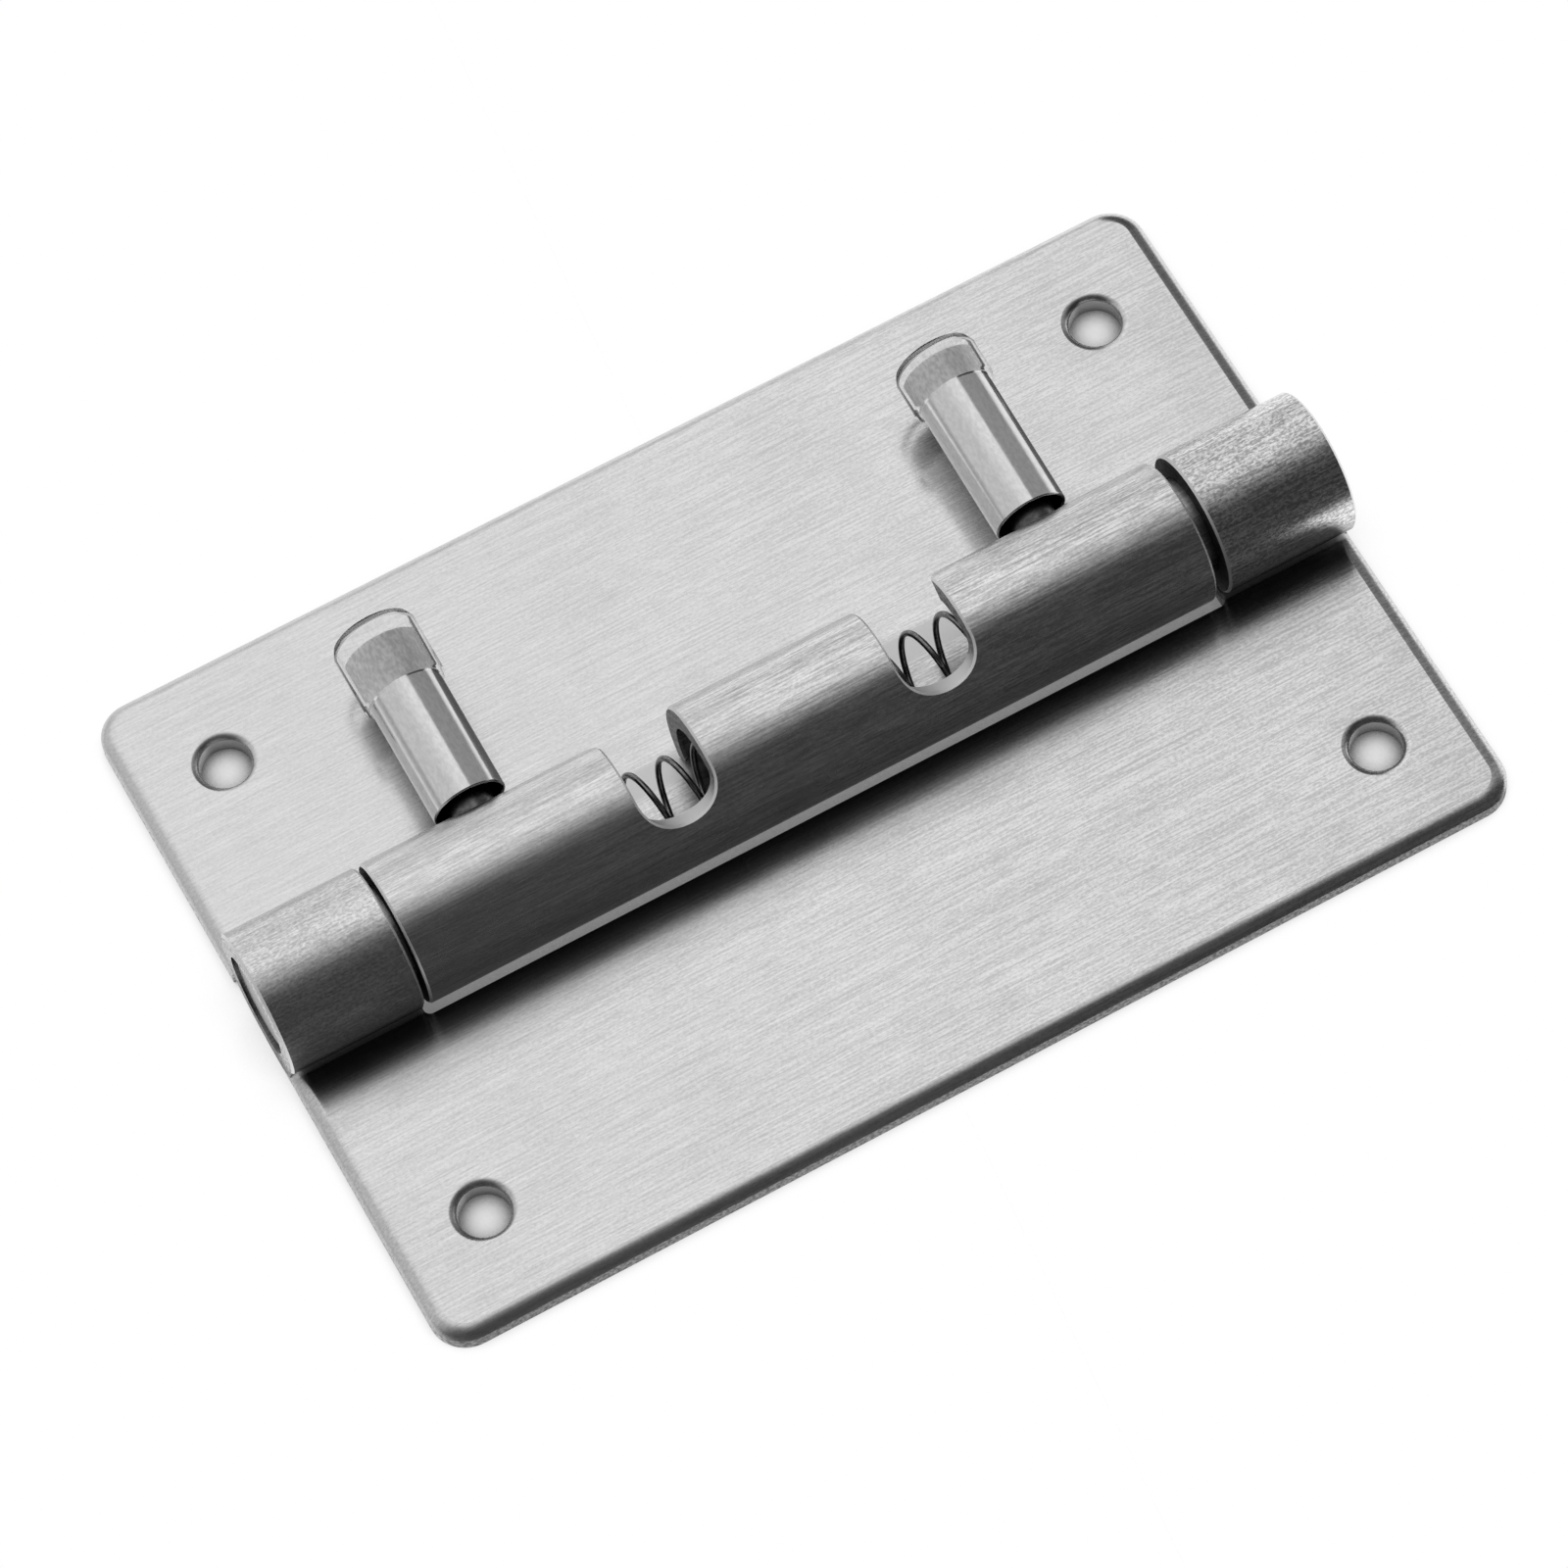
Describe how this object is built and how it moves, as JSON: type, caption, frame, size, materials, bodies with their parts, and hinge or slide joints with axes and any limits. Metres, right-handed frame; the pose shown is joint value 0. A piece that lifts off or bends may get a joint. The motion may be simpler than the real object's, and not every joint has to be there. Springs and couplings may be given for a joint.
{
  "type": "spring bolt hinge",
  "caption": "Quick-release hinge: stamped steel leaves rolled into one barrel, pinned by spring-loaded bolts that small capped levers draw back",
  "frame": {"origin": "on the mounting face, under the middle of the barrel's axis", "axes": "+X along the barrel to the right-hand lever, +Y towards the rear leaf that carries the levers, +Z out of the mounting face; both leaves lie open and flat"},
  "size_m": [0.1, 0.066, 0.0128],
  "materials": {
    "leaf_steel": "brushed along the barrel",
    "bolt_steel": "turned, plain",
    "spring_steel": "drawn wire, dark",
    "lever_steel": "drawn tube, polished lengthwise",
    "cap_plastic": "clear, soft, smooth"
  },
  "bodies": {
    "fixed_leaf": {"rear_leaf": "leaf_steel", "bolt_spring": "spring_steel"},
    "folding_leaf": {"front_leaf": "leaf_steel"},
    "right_bolt_group": {"right_bolt": "bolt_steel", "right_lever_stud": "bolt_steel", "right_lever_tube": "lever_steel", "right_lever_cap": "cap_plastic"},
    "left_bolt_group": {"left_bolt": "bolt_steel", "left_lever_stud": "bolt_steel", "left_lever_tube": "lever_steel", "left_lever_cap": "cap_plastic"}
  },
  "joints": [
    {"name": "leaf_hinge", "type": "hinge", "parent": "fixed_leaf", "child": "folding_leaf", "pos_m": [0, 0, 0.0064], "axis": [-1, 0, 0], "range_deg": [0, 175]},
    {"name": "right_bolt_slide", "type": "slide", "parent": "fixed_leaf", "child": "right_bolt_group", "axis": [-1, 0, 0], "range_m": [0, 0.0155], "stiffness_N_per_m": 255, "springref_m": -0.014, "deforming": ["bolt_spring"]},
    {"name": "left_bolt_slide", "type": "slide", "parent": "fixed_leaf", "child": "left_bolt_group", "axis": [1, 0, 0], "range_m": [0, 0.0155], "stiffness_N_per_m": 255, "springref_m": -0.014, "deforming": ["bolt_spring"]}
  ]
}
